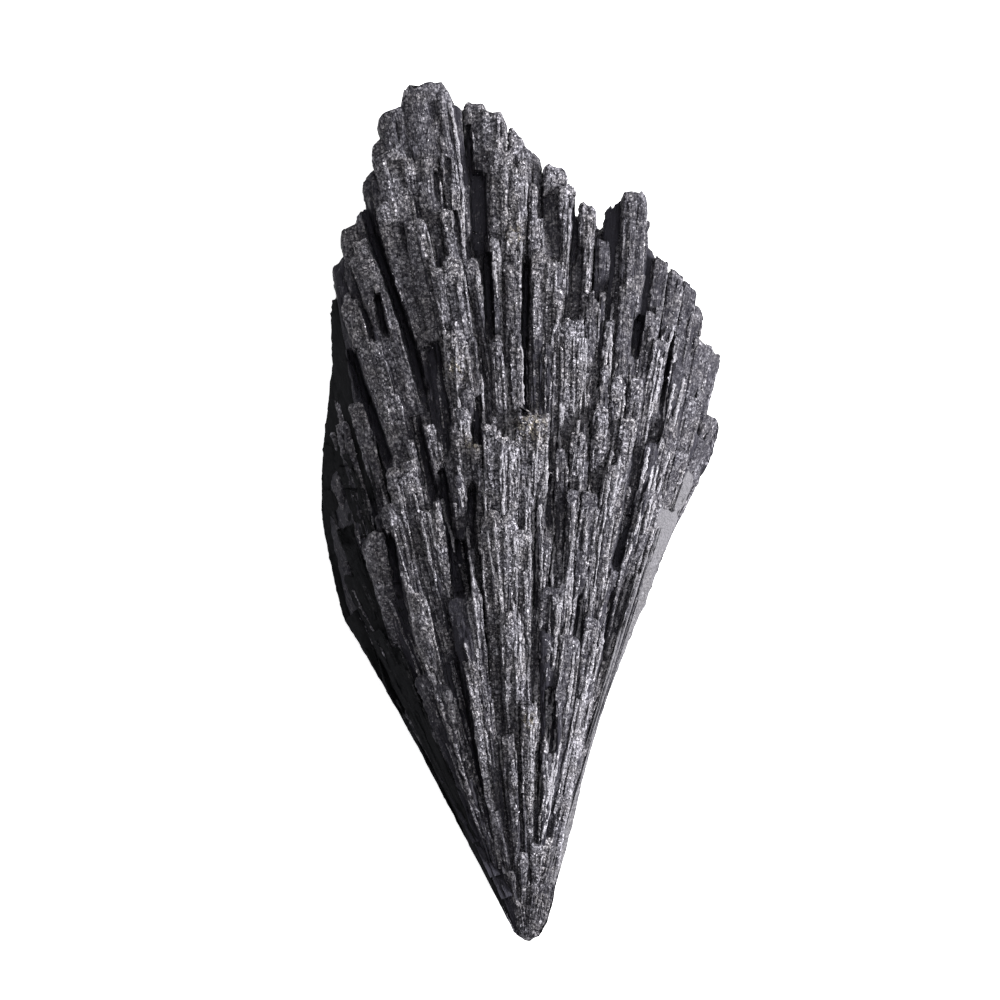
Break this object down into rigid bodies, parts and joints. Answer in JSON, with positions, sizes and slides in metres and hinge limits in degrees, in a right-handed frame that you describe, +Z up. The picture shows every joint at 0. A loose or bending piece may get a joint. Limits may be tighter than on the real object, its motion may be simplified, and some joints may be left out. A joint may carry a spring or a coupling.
{
  "type": "black tourmaline fan",
  "caption": "Spray of flat black crystal blades that fan out from one narrow end, grown together as a single piece, lying with its domed face up.",
  "frame": {"origin": "middle of the bounding box, on the surface that the fan lies on", "axes": "+Y from the narrow end towards the blade tips, +Z up out of the domed face, +X to the right as seen from above with the tips away from the viewer"},
  "size_m": [0.0402, 0.0858, 0.0193],
  "materials": {
    "tourmaline": "dull, dusty bloom on the blade tips, glossier in the gaps"
  },
  "bodies": {
    "root": {"crystal_fan": "tourmaline"}
  },
  "joints": []
}
